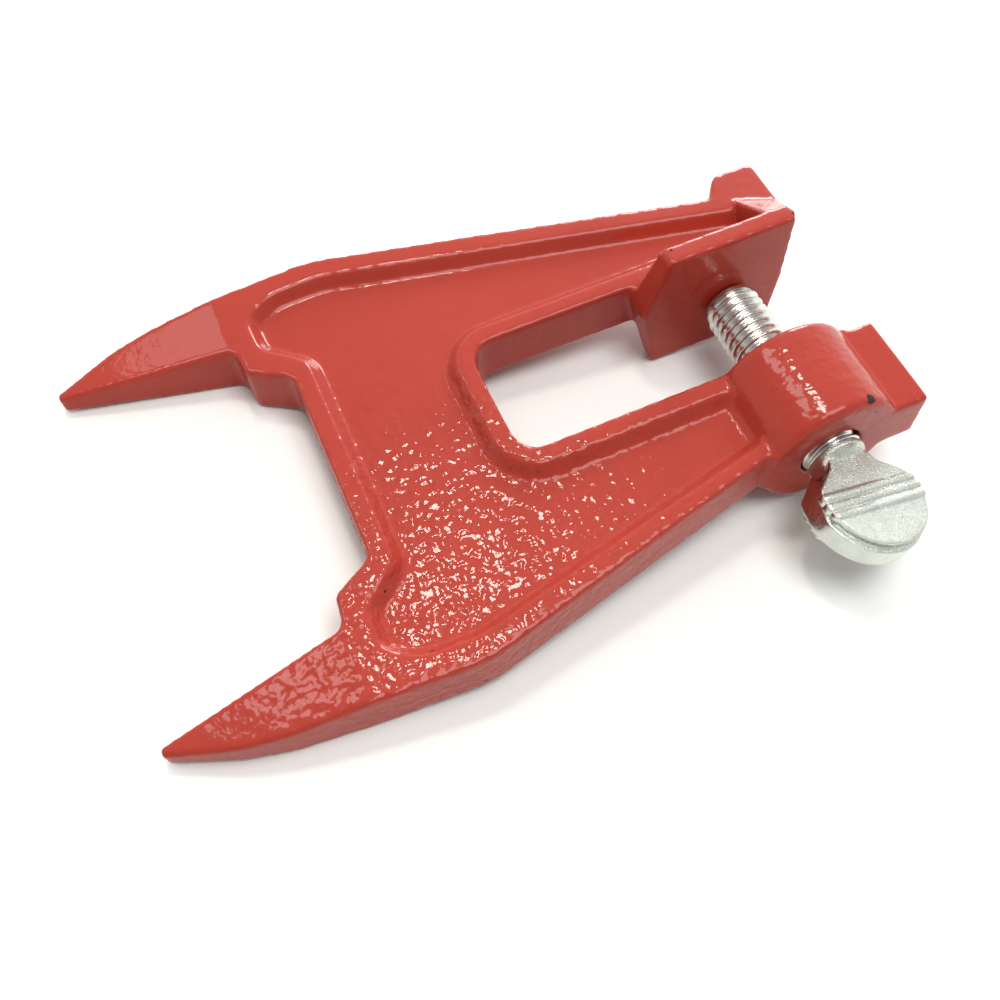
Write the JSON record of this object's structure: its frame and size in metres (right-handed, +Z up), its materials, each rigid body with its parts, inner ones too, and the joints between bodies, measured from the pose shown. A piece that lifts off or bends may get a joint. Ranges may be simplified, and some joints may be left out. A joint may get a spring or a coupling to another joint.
{
  "type": "chainsaw stump vise",
  "caption": "Cast clamp body with two flat spikes for driving into a log, an open slot for a chainsaw bar, and a thumb screw that presses the bar against an upright jaw.",
  "frame": {"origin": "middle of the bounding box at floor level, with the vise lying on its side at rest", "axes": "+X from the spikes to the hammer pads, +Y from the thumb screw to the jaw plate, +Z up"},
  "size_m": [0.165, 0.1144, 0.0363],
  "materials": {
    "red_enamel": "glossy stove enamel over a sand-cast skin",
    "zinc": "bright zinc plate over a forged thumb screw"
  },
  "bodies": {
    "body": {"vise_casting": "red_enamel"},
    "screw_travel": {"screw_point": "zinc"},
    "screw": {"thumb_screw": "zinc"}
  },
  "joints": [
    {"name": "screw_slide", "type": "slide", "parent": "body", "child": "screw_travel", "axis": [0, -1, 0], "range_m": [0, 0.01953]},
    {"name": "screw_turn", "type": "hinge", "parent": "screw_travel", "child": "screw", "pos_m": [0.06044, -0.0145, 0.0155], "axis": [0, -1, 0], "range_deg": [0, 3600]}
  ],
  "couplings": [
    {"joint": "screw_turn", "follows": "screw_slide", "rad_per_m": 3215.8}
  ]
}
